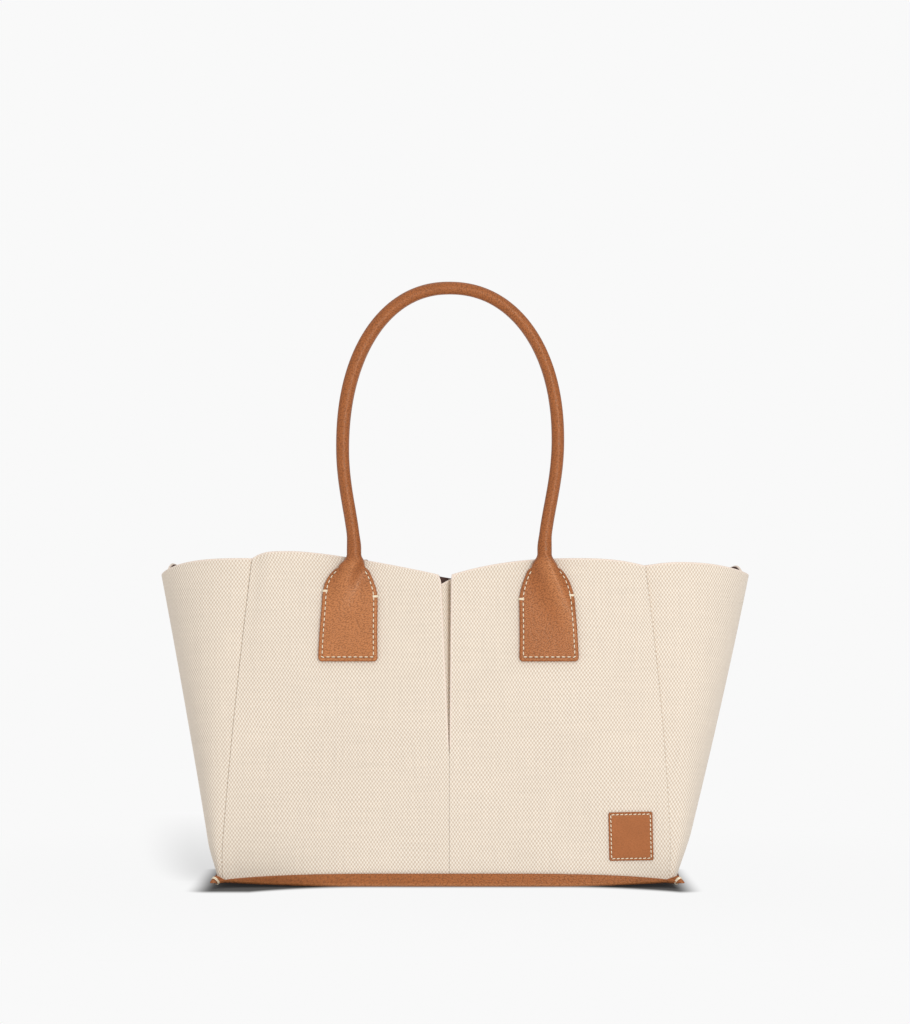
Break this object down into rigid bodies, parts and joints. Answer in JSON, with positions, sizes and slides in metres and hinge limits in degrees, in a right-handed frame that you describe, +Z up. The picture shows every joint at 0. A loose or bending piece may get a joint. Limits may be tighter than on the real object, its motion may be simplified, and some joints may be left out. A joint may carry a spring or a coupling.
{
  "type": "tote bag",
  "caption": "Open canvas tote bag with spread sides, a pleated slit front and back, leather base tray, stitched tabs and rolled leather handles that swing.",
  "frame": {"origin": "middle of the base's underside, on the surface that the bag stands on", "axes": "+Z up, +X to the right as seen from the front, +Y from the front to the back"},
  "size_m": [0.4785, 0.1892, 0.4757],
  "materials": {
    "canvas": "undyed two-tone woven canvas, matt",
    "lining": "dark brown cotton twill, matt",
    "leather": "tan pebbled leather, half matt",
    "board": "pressed fibre board",
    "cord": "cotton cord",
    "backing": "stiff non-woven cloth"
  },
  "bodies": {
    "bag": {"base_leather": "leather", "base_board": "board", "lining_floor": "lining", "front_panel_left": "canvas", "front_panel_right": "canvas", "front_pleat_gusset": "canvas", "back_panel_left": "canvas", "back_panel_right": "canvas", "back_pleat_gusset": "canvas", "side_panel_left": "canvas", "side_panel_right": "canvas", "front_lining": "lining", "back_lining": "lining", "left_lining": "lining", "right_lining": "lining", "front_tab_left": "leather", "front_tab_right": "leather", "rear_tab_left": "leather", "rear_tab_right": "leather", "front_tab_backing_left": "backing", "front_tab_backing_right": "backing", "rear_tab_backing_left": "backing", "rear_tab_backing_right": "backing", "front_handle_neck_left": "leather", "front_handle_neck_right": "leather", "rear_handle_neck_left": "leather", "rear_handle_neck_right": "leather", "label_patch": "leather"},
    "front_handle": {"front_handle_cover": "leather", "front_handle_core": "cord"},
    "rear_handle": {"rear_handle_cover": "leather", "rear_handle_core": "cord"}
  },
  "joints": [
    {"name": "front_handle_swing", "type": "hinge", "parent": "bag", "child": "front_handle", "pos_m": [0, -0.08365, 0.2535], "axis": [1, 0, 0], "range_deg": [-19, 178], "deforming": ["front_handle_neck_left", "front_handle_neck_right"]},
    {"name": "rear_handle_swing", "type": "hinge", "parent": "bag", "child": "rear_handle", "pos_m": [0, 0.08365, 0.2535], "axis": [1, 0, 0], "range_deg": [0, 197], "deforming": ["rear_handle_neck_left", "rear_handle_neck_right"]}
  ]
}
